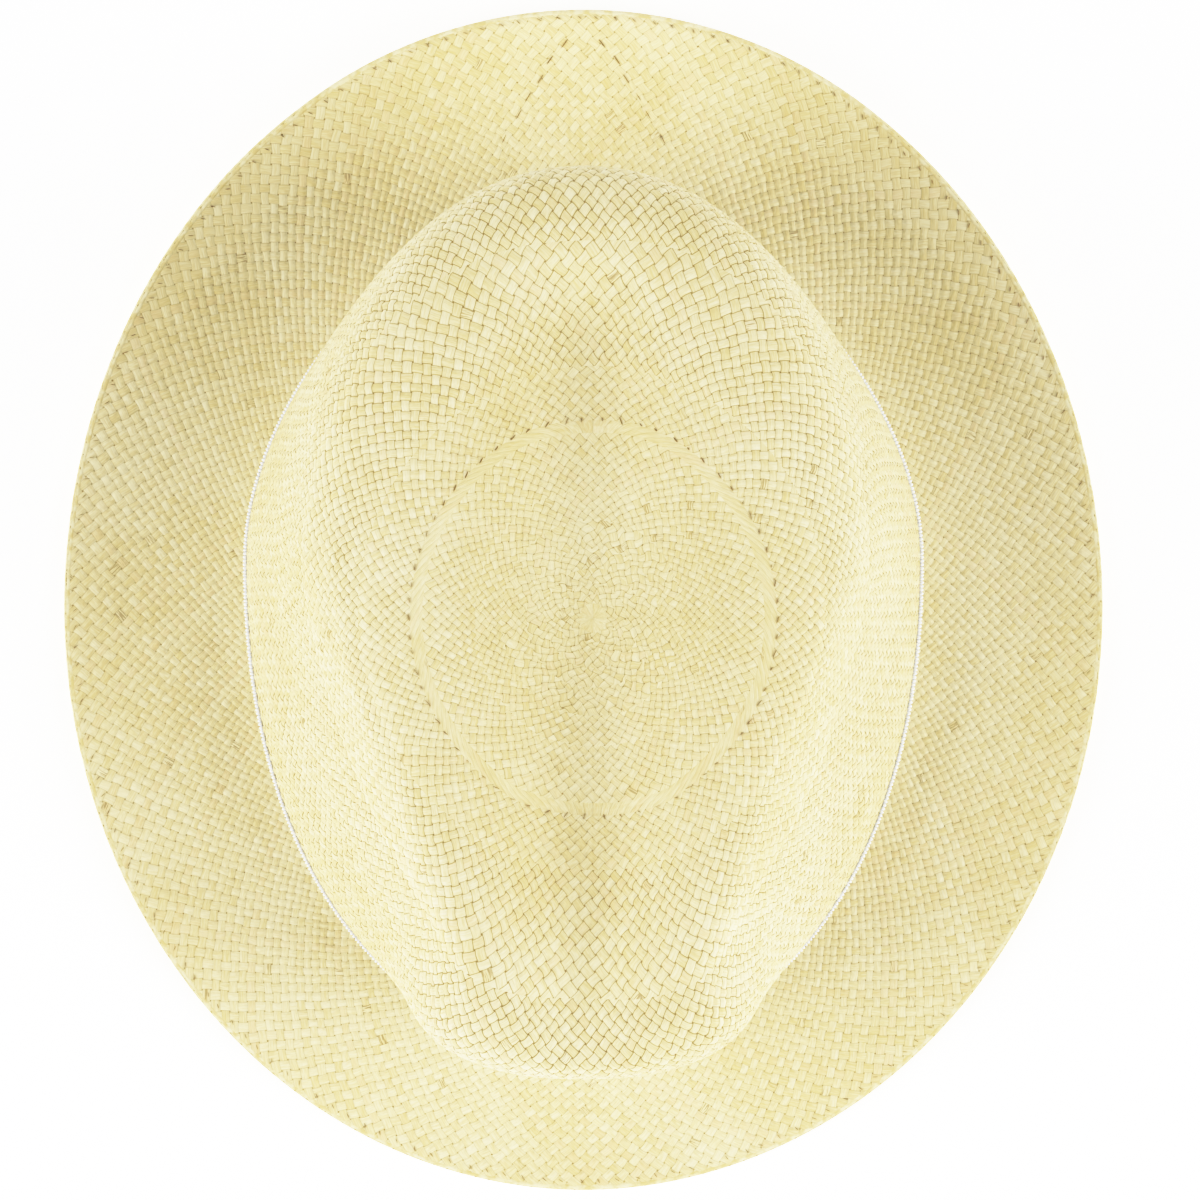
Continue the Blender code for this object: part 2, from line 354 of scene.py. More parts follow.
def outer_line(points, triangles, azimuth):
    """The outer face cut by an upright half-plane: distances out and heights, from the rosette to the edge."""
    flat = points[:, :2] - ROSETTE
    ahead = flat @ np.array([math.cos(azimuth), math.sin(azimuth)])
    aside = flat @ np.array([-math.sin(azimuth), math.cos(azimuth)])
    aside[np.abs(aside) < 1e-9] = 1e-9
    over = aside > 0.0
    sides = over[triangles]
    places = {}
    joined = {}
    start = None
    for corners in triangles[sides.any(1) & ~sides.all(1)].tolist():
        ends = []
        for a, b in zip(corners, corners[1:] + corners[:1]):
            if over[a] == over[b]:
                continue
            key = (min(a, b), max(a, b))
            if key not in places:
                share = aside[a] / (aside[a] - aside[b])
                places[key] = (ahead[a] + share * (ahead[b] - ahead[a]),
                               points[a, 2] + share * (points[b, 2] - points[a, 2]))
            ends.append(key)
        joined.setdefault(ends[0], []).append(ends[1])
        joined.setdefault(ends[1], []).append(ends[0])
        behind, before = sorted(ends, key=lambda key: places[key][0])
        (x0, z0), (x1, z1) = places[behind], places[before]
        if x0 <= 0.0 < x1:
            height = z0 - x0 * (z1 - z0) / (x1 - x0)
            if start is None or height > start[0]:
                start = (height, behind, before)
    height, previous, current = start
    line = [(0.0, height)]
    while True:
        line.append(places[current])
        following = next(key for key in joined[current] if key != previous)
        out, up = np.subtract(places[following], line[-1])
        if line[-1][0] > BRIM_FROM and out < EDGE_TURN * math.hypot(out, up):
            return np.array(line)
        previous, current = current, following


def bell(width):
    """A row of weights for smoothing, width steps wide at its shoulders."""
    reach = int(3 * width)
    weights = np.exp(-0.5 * (np.arange(-reach, reach + 1) / width) ** 2)
    return weights / weights.sum()


def smooth_round(rows, width):
    """A table, or a row, with one entry for each azimuth, smoothed all the way round."""
    weights = bell(width)
    reach = len(weights) // 2
    return sum(weight * np.roll(rows, k - reach, axis=0) for k, weight in enumerate(weights))


class Form:
    """The straw's outer face, read from the frame as a table of smooth lines from the rosette to the edge."""

    def __init__(self):
        points, triangles = merged_copy("straw_body")
        self.grid = np.arange(AZIMUTHS + 1) / AZIMUTHS * math.tau
        stations = np.linspace(0.0, 1.0, STATIONS + 1)
        ahead = np.empty((AZIMUTHS, STATIONS + 1))
        height = np.empty((AZIMUTHS, STATIONS + 1))
        for row, turn in enumerate(self.grid[:-1]):
            line = outer_line(points, triangles, turn)
            steps = np.hypot(*np.diff(line, axis=0).T)
            reach = np.concatenate([[0.0], np.cumsum(steps)])
            ahead[row] = np.interp(stations, reach / reach[-1], line[:, 0])
            height[row] = np.interp(stations, reach / reach[-1], line[:, 1])
        self.ahead = self.smooth(ahead, -1.0)
        self.height = self.smooth(height, 1.0)
        steps = np.hypot(np.diff(self.ahead, axis=1), np.diff(self.height, axis=1))
        self.reach = np.concatenate([np.zeros((AZIMUTHS, 1)), np.cumsum(steps, axis=1)], axis=1)
        self.edge = self.reach[:, -1]
        low = [np.nonzero(line > FOOT_HEIGHT)[0][-1] for line in self.height]
        self.foot = self.reach[np.arange(AZIMUTHS), low]
        band, _ = merged_copy("hat_band")
        self.band_top = self.round_heights(band, np.max)
        self.band_foot = self.round_heights(band, np.min)

    @staticmethod
    def smooth(table, across_the_middle):
        """A table without the frame's facets. Past the middle each line goes on as the one opposite."""
        weights = bell(SMOOTH_STATIONS)
        reach = len(weights) // 2
        opposite = np.roll(table, AZIMUTHS // 2, axis=0)
        before = across_the_middle * opposite[:, reach:0:-1]
        after = 2.0 * table[:, -1:] - table[:, -2:-reach - 2:-1]
        padded = np.concatenate([before, table, after], axis=1)
        smooth = sum(weight * padded[:, k:k + table.shape[1]] for k, weight in enumerate(weights))
        return smooth_round(smooth, SMOOTH_AZIMUTHS)

    def round_heights(self, points, choose):
        """The band's highest or lowest height at each azimuth."""
        turns = np.arctan2(points[:, 1] - ROSETTE[1], points[:, 0] - ROSETTE[0]) % math.tau
        found = []
        for turn in self.grid[:-1]:
            gap = np.abs((turns - turn + math.pi) % math.tau - math.pi)
            found.append(choose(points[gap < BAND_SECTOR, 2]))
        return smooth_round(found, SMOOTH_BAND)

    def round_value(self, values, turns):
        """A value that is known at each azimuth, at other azimuths."""
        return np.interp(turns % math.tau, self.grid, np.append(values, values[0]))

    def distance(self, turns, level):
        """How far along the straw a level is from the rosette."""
        foot = self.round_value(self.foot, turns)
        edge = self.round_value(self.edge, turns)
        flat = FLAT_REACH * np.minimum(level, 1.0)
        wall = np.clip(level - 1.0, 0.0, 1.0) * (foot - FLAT_REACH)
        brim = np.clip(level - 2.0, 0.0, 1.0) * (edge - foot)
        return flat + wall + brim

    def at_distance(self, turns, distance):
        """The point on the straw at an azimuth and a distance from the rosette."""
        edge = self.round_value(self.edge, turns)
        place = np.clip(distance / edge, 0.0, 1.0) * STATIONS
        station = np.minimum(place.astype(int), STATIONS - 1)
        part = place - station
        turn = (turns % math.tau) / math.tau * AZIMUTHS
        first = turn.astype(int) % AZIMUTHS
        share = turn - np.floor(turn)
        second = (first + 1) % AZIMUTHS

        def look_up(table):
            near = table[first, station] * (1.0 - part) + table[first, station + 1] * part
            far = table[second, station] * (1.0 - part) + table[second, station + 1] * part
            return near * (1.0 - share) + far * share

        ahead = look_up(self.ahead)
        return np.stack([ROSETTE[0] + ahead * np.cos(turns),
                         ROSETTE[1] + ahead * np.sin(turns),
                         look_up(self.height)], axis=-1)

    def reach_at(self, turns, ahead):
        """The distance along the straw of points on the brim that are so far out from the rosette."""
        found = []
        for turn, wanted in zip(turns, ahead):
            row = round(turn % math.tau / math.tau * AZIMUTHS) % AZIMUTHS
            brim = self.reach[row] > self.foot[row]
            found.append(np.interp(wanted, self.ahead[row][brim], self.reach[row][brim]))
        return np.array(found)

    def at_level(self, turns, level):
        """The point on the straw at an azimuth and a level."""
        return self.at_distance(turns, self.distance(turns, level))

    def outward(self, turns, distance):
        """The direction straight out of the straw."""
        step = 0.0006
        turn = step / np.maximum(distance, 0.004)
        along = (self.at_distance(turns, distance + step)
                 - self.at_distance(turns, np.maximum(distance - step, 0.0)))
        around = self.at_distance(turns + turn, distance) - self.at_distance(turns - turn, distance)
        normal = np.cross(along, around)
        return normal / np.maximum(np.linalg.norm(normal, axis=-1, keepdims=True), 1e-12)

    def lengths(self, level):
        """How far along the round at a level each azimuth of the grid lies."""
        loop = self.at_level(self.grid, np.full(AZIMUTHS + 1, level))
        return np.concatenate([[0.0], np.cumsum(np.linalg.norm(np.diff(loop, axis=0), axis=1))])

    def columns(self, count, level):
        """Azimuths of even columns: by angle near the rosette, by length along the round further out."""
        length = self.lengths(level)
        even = float(smooth_step(level, EVEN_FROM, EVEN_AT))
        place = (1.0 - even) * self.grid / math.tau + even * length / length[-1]
        return np.interp(np.arange(count) / count, place, self.grid)

    def rounds(self, strands, start, end, per_strand):
        """The levels of a zone's rows, spaced so that a crossing is as long as it is wide."""
        levels = np.linspace(start, end, LEVEL_SAMPLES)
        turns = self.grid[:-1:4]
        loops = np.array([self.at_level(turns, np.full(len(turns), level)) for level in levels])
        girths = np.array([self.lengths(level)[-1] for level in levels])
        steps = np.linalg.norm(np.diff(loops, axis=0), axis=2).mean(axis=1)
        made = np.concatenate([[0.0], np.cumsum(strands * steps / (0.5 * (girths[1:] + girths[:-1])))])
        rows = max(2, round(per_strand * made[-1]))
        return np.interp(np.linspace(0.0, made[-1], rows + 1), made, levels)


@functools.cache
def hat_form():
    """The form of the straw, read from the frame once."""
    return Form()


class Sheet:
    """Points, triangles and what each carries, gathered zone by zone for one skin of the straw."""

    def __init__(self, under):
        self.form = hat_form()
        self.under = under
        self.parts = {}
        self.count = 0

    def take(self, **parts):
        """Adds what a zone gives to what is gathered."""
        for name, values in parts.items():
            self.parts.setdefault(name, []).append(values)

    def gathered(self):
        """Everything as whole arrays."""
        return SimpleNamespace(**{name: np.concatenate(values) for name, values in self.parts.items()})

    def strand_places(self, zone, points, per_strand):
        """Where the points of a zone lie across the two families of strands, with the first column again."""
        _, strands, _, end, long_strands, lean, _ = zone
        rows, wide = points.shape[:2]
        u = (np.arange(wide + 1) / per_strand)[None, :]
        if long_strands:
            share = (np.arange(rows) / (rows - 1))[:, None]
            side = np.clip(LEAN_CHANGE * np.cos(u / strands * math.tau), -1.0, 1.0)
            return u + lean * side * share, np.repeat(LONG_RUN * share, wide + 1, axis=1)
        v = (np.arange(rows) / per_strand)[:, None]
        closed = np.concatenate([points, points[:, :1]], axis=1)
        aside, beyond = sway(closed, *(INNER_SWAY if end < INNER_LEVEL else SWAY))
        return u + v + aside, u - v + beyond

    def relief(self, zone, levels, per_strand, height):
        """How high the strands of each row of a zone rise."""
        _, strands, _, end, long_strands, _, _ = zone
        rows = len(levels)
        pitch = self.form.lengths(float(levels[rows // 2]))[-1] / strands / math.sqrt(2.0)
        if long_strands:
            fade = np.sin(np.linspace(0.0, math.pi, rows)) ** 0.5 * LONG_RELIEF
        else:
            border = INNER_BORDER if end < INNER_LEVEL else BORDER
            ends = np.arange(rows) / per_strand
            fade = np.minimum(smooth_step(ends, 0.0, border), smooth_step(ends[::-1], 0.0, border))
        return fade * height * min(pitch, RELIEF_PITCH)

    def beside_ribbon(self, turns, level, height):
        """0 under the ribbon and 1 clear of it."""
        top = self.form.round_value(self.form.band_top, turns)
        foot = self.form.round_value(self.form.band_foot, turns)
        above = smooth_step(height, *(top + fade for fade in RIBBON_TOP_FADE))
        below = smooth_step(-height, *(-foot + fade for fade in RIBBON_FOOT_FADE))
        return np.where(level < 2.0, above, below)

    def weave(self, zone, per_strand, height, piece_of):
        """Adds one zone of the weave, as a grid with per_strand columns to each strand."""
        name, strands, start, end, long_strands, lean, openness = zone
        form = self.form
        if long_strands:
            levels = np.linspace(start, end, RING_ROWS if lean else KNOT_ROWS)
        else:
            levels = form.rounds(strands, start, end, per_strand)
        wide = strands * per_strand
        rows = len(levels)
        turns = np.array([form.columns(wide, level) for level in levels])
        level = np.repeat(levels[:, None], wide, axis=1)
        distance = form.distance(turns, level)
        points = form.at_distance(turns, distance)
        outward = form.outward(turns, distance)
        if self.under:
            points = points - outward * STRAW_WALL
            outward = -outward
        first, second = self.strand_places(zone, points, per_strand)
        relief = np.repeat(self.relief(zone, levels, per_strand, height)[:, None], wide, axis=1)
        if not self.under:
            relief *= self.beside_ribbon(turns, level, points[..., 2])
        self.take(
            points=points.reshape(-1, 3), outward=outward.reshape(-1, 3),
            long=np.full(rows * wide, 1.0 if long_strands else 0.0), relief=relief.ravel(),
            open=np.full(rows * wide, openness), count_round=np.full(rows * wide, float(strands)))
        i, j = (index.ravel() for index in np.meshgrid(np.arange(wide), np.arange(rows - 1)))
        piece = np.array([piece_of(levels[row]) for row in range(rows - 1)])[j]

        def corner(column, row):
            return self.count + row * wide + column % wide

        def place(column, row):
            return np.stack([first[row, column], second[row, column]], -1)

        odd = ((i + j) % 2 == 1)[:, None]
        here, out = (i, j), (i, j + 1)
        beside, across = (i + 1, j), (i + 1, j + 1)
        one = [(here, out, beside), (beside, out, across)]
        other = [(here, across, beside), (here, out, across)]
        for first_way, second_way in zip(one, other):
            faces = np.where(odd, np.stack([corner(*c) for c in first_way], 1),
                             np.stack([corner(*c) for c in second_way], 1))
            places = np.where(odd[:, :, None], np.stack([place(*c) for c in first_way], 1),
                              np.stack([place(*c) for c in second_way], 1))
            self.take_faces(faces, places, piece)
        first_round = self.count
        self.count += rows * wide
        if name == "knot":
            self.close_middle(first_round, strands, wide)

    def take_faces(self, faces, places, piece):
        """Adds triangles, the strands' places at their corners, and the piece that each belongs to."""
        if self.under:
            faces, places = faces[:, ::-1], places[:, ::-1]
        self.take(triangles=faces, corners=places, pieces=piece)

    def close_middle(self, first_round, strands, wide):
        """Closes the hole in the first round with one point."""
        zero = np.zeros(1)
        point = self.form.at_distance(zero, zero)
        outward = np.array([[0.0, 0.0, 1.0]])
        if self.under:
            point = point - outward * STRAW_WALL
            outward = -outward
        self.take(points=point, outward=outward, long=np.ones(1), relief=zero, open=zero,
                  count_round=np.full(1, float(strands)))
        i = np.arange(wide)
        faces = np.stack([np.full(wide, self.count), first_round + i, first_round + (i + 1) % wide], 1)
        places = np.stack([np.stack([column / MIDDLE_STEPS, 0.0 * i], -1) for column in (i + 0.5, i, i + 1)], 1)
        self.take_faces(faces, places, np.zeros(wide, int))
        self.count += 1


def new_mesh(name, points, triangles, corners=None, layer="strands"):
    """A mesh of triangles, with a UV map from the places of their corners."""
    mesh = bpy.data.meshes.new(name)
    mesh.vertices.add(len(points))
    mesh.vertices.foreach_set("co", np.asarray(points, np.float32).ravel())
    mesh.loops.add(3 * len(triangles))
    mesh.loops.foreach_set("vertex_index", np.asarray(triangles, np.int32).ravel())
    mesh.polygons.add(len(triangles))
    mesh.polygons.foreach_set("loop_start", np.arange(0, 3 * len(triangles), 3, dtype=np.int32))
    mesh.update(calc_edges=True)
    if corners is not None:
        uv = mesh.uv_layers.new(name=layer)
        uv.uv.foreach_set("vector", np.asarray(corners, np.float32).ravel())
    mesh.shade_smooth()
    return mesh


def new_object(name, data):
    """An object in the scene."""
    part = bpy.data.objects.new(name, data)
    bpy.context.scene.collection.objects.link(part)
    return part


def store(mesh, **columns):
    """Stores values under names on a mesh, one number or one vector for each point."""
    for name, values in columns.items():
        vectors = np.ndim(values) == 2
        attribute = mesh.attributes.new(name, "FLOAT_VECTOR" if vectors else "FLOAT", "POINT")
        attribute.data.foreach_set("vector" if vectors else "value", np.asarray(values, np.float32).ravel())


def new_tree(name, inputs):
    """The nodes of an empty Geometry Nodes tree, and what comes in by name: numbers, or None for a material."""
    tree = bpy.data.node_groups.new(name, "GeometryNodeTree")
    tree.is_modifier = True
    tree.interface.new_socket("Geometry", in_out="INPUT", socket_type="NodeSocketGeometry")
    for label, default in inputs.items():
        kind = "NodeSocketMaterial" if default is None else "NodeSocketFloat"
        socket = tree.interface.new_socket(label, in_out="INPUT", socket_type=kind)
        if default is not None:
            socket.default_value = default
    tree.interface.new_socket("Geometry", in_out="OUTPUT", socket_type="NodeSocketGeometry")
    nodes = Nodes(tree)
    return nodes, nodes.add("NodeGroupInput").outputs


def run_tree(part, tree, settings):
    """The plain mesh that a Geometry Nodes tree makes of a part, which is removed."""
    modifier = part.modifiers.new(tree.name, "NODES")
    modifier.node_group = tree
    for item in tree.interface.items_tree:
        if item.item_type == "SOCKET" and item.in_out == "INPUT" and item.name in settings:
            modifier[item.identifier] = settings[item.name]
    part.update_tag()
    graph = bpy.context.evaluated_depsgraph_get()
    made = bpy.data.meshes.new_from_object(part.evaluated_get(graph), preserve_all_data_layers=True,
                                           depsgraph=graph)
    part.modifiers.remove(modifier)
    bpy.data.objects.remove(part)
    return made


def dressed(part, node):
    """Lets a finished piece ride on the hat and stand for its CAD node."""
    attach(part, "root")
    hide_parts(node)


def tree_piece(name, mesh, node):
    """A piece from the mesh that a tree made."""
    mesh.name = name
    mesh.shade_smooth()
    dressed(new_object(name, mesh), node)


def strand_height(nodes, fields, crown, hole_depth):
    """The height of the weave: strands rounded across, high in the middle of a crossing, and holes."""
    wave = nodes.math("COSINE", nodes.math("MULTIPLY", fields["along"], math.pi))
    rounded = nodes.math("SUBTRACT", 1.0, nodes.math("POWER", fields["across"], 2.0))
    height = nodes.blend(wave, rounded, crown)
    return nodes.blend(height, nodes.math("MULTIPLY", hole_depth, -1.0), fields["hole"])


def relief_tree():
    """Geometry Nodes that raise each strand where it crosses over, and sink the holes between strands."""
    nodes, given = new_tree("straw_relief", {"Roundness": 0.45, "Hole depth": 0.6, "Straw": None})
    split = nodes.add("ShaderNodeSeparateXYZ", nodes.stored("strands", "FLOAT_VECTOR")).outputs
    fields = strand_fields(nodes, split["X"], split["Y"], nodes.stored("long"))
    rise = strand_height(nodes, fields, given["Roundness"], given["Hole depth"])
    rise = nodes.math("MULTIPLY", rise, nodes.stored("relief"))
    moved = nodes.moved(given["Geometry"], nodes.stored("outward", "FLOAT_VECTOR"), rise)
    return nodes.finish(moved, given["Straw"])


def new_material(name):
    """A material, its nodes and its shader."""
    material = bpy.data.materials.new(name)
    material.use_nodes = True
    return material, Nodes(material.node_tree), material.node_tree.nodes["Principled BSDF"]


def straw_material(settings):
    """Woven straw: fibres along each strand, a tone for each strand and crossing, and painted shade in the
    lines and holes between strands.
    """
    material, nodes, shader = new_material("woven_straw")
    place = nodes.add("ShaderNodeUVMap", uv_map="strands").outputs[0]
    split = nodes.add("ShaderNodeSeparateXYZ", place).outputs
    first, second = split["X"], split["Y"]
    long_strands = nodes.carried("long")
    openness = nodes.carried("open")
    round_count = nodes.carried("count_round")
    fields = strand_fields(nodes, first, second, long_strands)
    across, along, hole, second_shows = (fields[name] for name in ("across", "along", "hole", "second_shows"))
    first_number = nodes.math("FLOORED_MODULO", fields["first_number"], round_count)
    second_number = nodes.math("FLOORED_MODULO", fields["second_number"], round_count)
    number = nodes.blend(first_number, nodes.math("ADD", second_number, 613.0), second_shows)
    run = nodes.blend(second, first, second_shows)

    # A random tone for each strand and another for each crossing, soft clouds, and fibres along the strands.
    # The second family is a little deeper, painted shade for how the light falls across the two directions, and
    # the long strands are a little deeper too
    strand_tone = nodes.add("ShaderNodeTexWhiteNoise", noise_dimensions="1D",
                            sockets={"W": nodes.math("ADD", number, 0.37)}).outputs["Value"]
    crossing_tone = nodes.chance(first_number, second_number, second_shows)
    cloud = nodes.noise(nodes.add("ShaderNodeTexCoord").outputs["Object"], 22.0, 1.0)
    fibre_place = nodes.add("ShaderNodeCombineXYZ",
                            nodes.math("MULTIPLY", fields["side"], 9.0),
                            nodes.math("MULTIPLY", run, 0.7),
                            nodes.math("MULTIPLY", number, 3.7)).outputs[0]
    fibre = nodes.noise(fibre_place, 1.0, 1.0, 0.65)
    tone = nodes.weighed(
        (strand_tone, 0.20), (crossing_tone, 0.14), (nodes.ramp(cloud, 0.3, 0.7), 0.16),
        (nodes.ramp(fibre, 0.3, 0.7), 0.36), (second_shows, 0.14), (long_strands, 0.13))
    colour = nodes.tint(settings.pale_straw, settings.warm_straw, nodes.ramp(tone, 0.1, 0.95))

    # A fifth of the strands are a little rosy, and a few crossings in a thousand have brown flecks
    rosy = nodes.ramp(nodes.math("FRACT", nodes.math("MULTIPLY", strand_tone, 7.0)), 0.80, 1.0)
    colour = nodes.tint(colour, settings.rosy_straw, nodes.math("MULTIPLY", rosy, 0.25))
    fleck = nodes.math("MULTIPLY", nodes.ramp(crossing_tone, 0.988, 0.996), nodes.ramp(fibre, 0.5, 0.6))
    colour = nodes.tint(colour, settings.fleck_colour, nodes.math("MULTIPLY", fleck, 0.6))

    # Painted shade: uneven dark lines where a strand dips under the next one and along its sides, stronger in
    # zones set as more open
    uneven = nodes.math("MULTIPLY_ADD", crossing_tone, 0.7, 0.6)
    uneven = nodes.math("MULTIPLY", uneven, nodes.math("MULTIPLY_ADD", openness, 0.9, 0.5))
    uneven = nodes.math("MULTIPLY", uneven, settings.line_depth)
    dip = nodes.math("MULTIPLY", nodes.ramp(along, 0.49, 1.0 - STRAND_WIDTH / 2), uneven)
    border = nodes.math("MULTIPLY", nodes.ramp(across, 0.89, 1.0), uneven)
    line = nodes.math("MAXIMUM", dip, nodes.math("MULTIPLY", border, 0.95))
    colour = nodes.tint(colour, settings.painted_shade_colour, line)

    # Painted shade in the holes at the corners, some of them wide open and darker
    corner_tone = nodes.chance(nodes.math("ROUND", first), nodes.math("ROUND", second), 0.5)
    wide_open = nodes.ramp(corner_tone, nodes.math("MULTIPLY_ADD", openness, -0.35, 0.95), 1.0)
    depth = nodes.math("MULTIPLY_ADD", wide_open, 0.5, settings.hole_depth)
    colour = nodes.tint(colour, settings.painted_shade_colour, nodes.math("MULTIPLY", hole, depth))
    nodes.put(shader.inputs["Base Color"], colour)

    rough = nodes.math("MULTIPLY_ADD", fibre, 0.25, 0.36)
    nodes.put(shader.inputs["Roughness"], nodes.math("MULTIPLY_ADD", hole, 0.3, rough))
    shader.inputs["Specular IOR Level"].default_value = 0.5

    # Fine relief in metres, half as high on long strands
    height = nodes.math("MULTIPLY", strand_height(nodes, fields, 0.6, 0.5), 0.00020)
    height = nodes.math("MULTIPLY_ADD", fibre, 0.00007, height)
    woven = nodes.math("SUBTRACT", 1.0, long_strands)
    height = nodes.math("MULTIPLY", height, nodes.math("MULTIPLY_ADD", woven, 0.5, 0.5))
    nodes.put(shader.inputs["Normal"], nodes.bump(height, settings.bump))
    return material


def ribbon_material(settings):
    """White ribbed ribbon: a weft thread on each rib, painted shade in the grooves between the ribs, and a soft
    sheen.
    """
    material, nodes, shader = new_material("ribbed_ribbon")
    place = nodes.add("ShaderNodeUVMap", uv_map="ribs").outputs[0]
    split = nodes.add("ShaderNodeSeparateXYZ", place).outputs
    part = off_middle(nodes, nodes.math("FRACT", split["X"]))
    thread = nodes.math("SINE", nodes.math("MULTIPLY", split["Y"], 2400.0))
    # Painted shade: the grooves between the ribs turn grey, and soft noise mottles the ribbon a little towards
    # the same grey
    shade = nodes.ramp(nodes.noise(place, 1.7, 3.0), 0.45, 0.75)
    groove = nodes.ramp(part, 0.55, 1.0)
    colour = nodes.tint(settings.ribbon_colour, settings.groove_shade_and_mottle, nodes.math("MULTIPLY", groove, 0.9))
    colour = nodes.tint(colour, settings.groove_shade_and_mottle, nodes.math("MULTIPLY", shade, 0.25))
    nodes.put(shader.inputs["Base Color"], colour)
    shader.inputs["Roughness"].default_value = 0.62
    shader.inputs["Sheen Weight"].default_value = 0.15
    height = nodes.math("MULTIPLY", nodes.math("SUBTRACT", 1.0, groove), 0.00006)
    height = nodes.math("MULTIPLY_ADD", thread, 0.000012, height)
    nodes.put(shader.inputs["Normal"], nodes.bump(height))
    return material


def edge_material(name, colour, other_colour):
    """Unwoven straw in two mixed colours for the rolled edge; for the dark slits the same mix of painted shade
    and brown flecks.
    """
    material, nodes, shader = new_material(name)
    noise = nodes.noise(nodes.add("ShaderNodeTexCoord").outputs["Object"], 420.0, 3.0)
    nodes.put(shader.inputs["Base Color"], nodes.tint(colour, other_colour, nodes.ramp(noise, 0.35, 0.65)))
    shader.inputs["Roughness"].default_value = 0.55
    nodes.put(shader.inputs["Normal"], nodes.bump(nodes.math("MULTIPLY", noise, 0.00008)))
    return material


def woven_pieces(sheet, names, material, on_floor):
    """Raises the strands of one skin and cuts it into pieces that share their borders."""
    skin = sheet.gathered()
    whole = new_mesh("weave", skin.points, skin.triangles, skin.corners)
    store(whole, outward=skin.outward, long=skin.long, relief=skin.relief)
    made = run_tree(new_object("weave", whole), relief_tree(), {"Straw": material})
    points = np.empty(3 * len(made.vertices), np.float32)
    made.vertices.foreach_get("co", points)
    points = points.reshape(-1, 3)
    if on_floor:
        points[:, 2] = np.maximum(points[:, 2], 0.0)
    normals = np.array([normal.vector for normal in made.vertex_normals])
    for number, name in enumerate(names):
        chosen = skin.pieces == number
        used, triangles = np.unique(skin.triangles[chosen], return_inverse=True)
        mesh = new_mesh(name, points[used], triangles.reshape(-1, 3), skin.corners[chosen])
        store(mesh, long=skin.long[used], open=skin.open[used], count_round=skin.count_round[used])
        mesh.normals_split_custom_set_from_vertices(normals[used])
        mesh.materials.append(material)
        dressed(new_object(name, mesh), "straw_body")


class StrawSettings(bpy.types.PropertyGroup):
    """The straw's colours and relief."""

    pale_straw: FloatVectorProperty(
        name="Pale straw", description="The lightest strands", subtype="COLOR", default=(0.870, 0.805, 0.560))
    warm_straw: FloatVectorProperty(
        name="Warm straw", description="The deepest strands", subtype="COLOR", default=(0.735, 0.625, 0.320))
    rosy_straw: FloatVectorProperty(
        name="Rosy straw", description="The few strands with a pinkish cast", subtype="COLOR",
        default=(0.820, 0.640, 0.400))
    fleck_colour: FloatVectorProperty(
        name="Flecks", description="Small brown marks in the straw", subtype="COLOR",
        default=(0.330, 0.225, 0.080))
    # Painted shade between and under the strands: its colour, used also for the dark slits, and below how dark
    # it lies in the lines and in the holes
    painted_shade_colour: FloatVectorProperty(
        name="Gaps", description="Between and under the strands", subtype="COLOR",
        default=(0.400, 0.300, 0.085))
    line_depth: FloatProperty(
        name="Line depth", description="How dark the lines between strands are",
        default=0.42, min=0.0, max=1.0)
    hole_depth: FloatProperty(
        name="Hole depth", description="How dark the holes between crossings are",
        default=0.50, min=0.0, max=1.0)
    strand_height: FloatProperty(
        name="Strand height", description="How far a strand rises over a crossing, as a share of its width",
        default=0.21, min=0.0, max=0.4)
    bump: FloatProperty(
        name="Fine relief", description="Strength of the fibres and strand borders",
        default=0.8, min=0.0, max=1.0)
    per_strand: IntProperty(
        name="Steps per strand", description="Columns of the outer weave's grid to each strand",
        default=4, min=2)
    under_steps: IntProperty(
        name="Steps per strand inside", description="Columns of the inner weave's grid to each strand",
        default=2, min=2)


class EdgeSettings(bpy.types.PropertyGroup):
    """The brim's rolled edge, and the dark slits of the stitches, the ring and the rear brim."""

    roll: FloatProperty(
        name="Roll radius", description="Radius of the rolled edge", default=0.00095, unit="LENGTH")
    stitch_gap: FloatProperty(
        name="Stitch spacing", description="From one stitch to the next", default=0.0050, unit="LENGTH")
    stitch_inset: FloatProperty(
        name="Stitch inset", description="From the edge to the stitches", default=0.0024, unit="LENGTH")
    stitch_length: FloatProperty(
        name="Stitch length", description="Length of a stitch", default=0.0015, unit="LENGTH")
    stitch_radius: FloatProperty(
        name="Slit radius", description="Half the width of a full slit", default=0.00016, unit="LENGTH")
    thin_share: FloatProperty(
        name="Thin slits",
        description="Width of the stitches and the ring's slits, as a share of a full slit's",
        default=0.42, min=0.0, max=1.0)
    stitch_rise: FloatProperty(
        name="Stitch rise", description="From the straw's mean face to a stitch's middle", default=0.00022,
        unit="LENGTH")
    slit_length: FloatProperty(
        name="Slit length", description="Length of the slits beside long strands", default=0.0021,
        unit="LENGTH")


class RibbonSettings(bpy.types.PropertyGroup):
    """The ribbed ribbon."""

    ribbon_colour: FloatVectorProperty(
        name="Ribbon", description="The ribbon's ribs", subtype="COLOR", default=(0.95, 0.95, 0.94))
    # Painted shade in the grooves between the ribs, and the grey of the ribbon's mottle
    groove_shade_and_mottle: FloatVectorProperty(
        name="Grooves", description="Between the ribs", subtype="COLOR", default=(0.58, 0.60, 0.62))
    rib_pitch: FloatProperty(
        name="Rib spacing", description="From one rib to the next", default=0.00092, unit="LENGTH")
    rib_height: FloatProperty(
        name="Rib height", description="How far a rib stands out", default=0.00050, unit="LENGTH")
    gap: FloatProperty(
        name="Ribbon gap", description="From the straw to the ribbon", default=0.0001, unit="LENGTH")
    thickness: FloatProperty(
        name="Ribbon thickness", description="Through the ribbon", default=0.00060, unit="LENGTH")
    lap: FloatProperty(
        name="Lap thickness", description="How far the lapped end stands out at the rear", default=0.0006,
        unit="LENGTH")


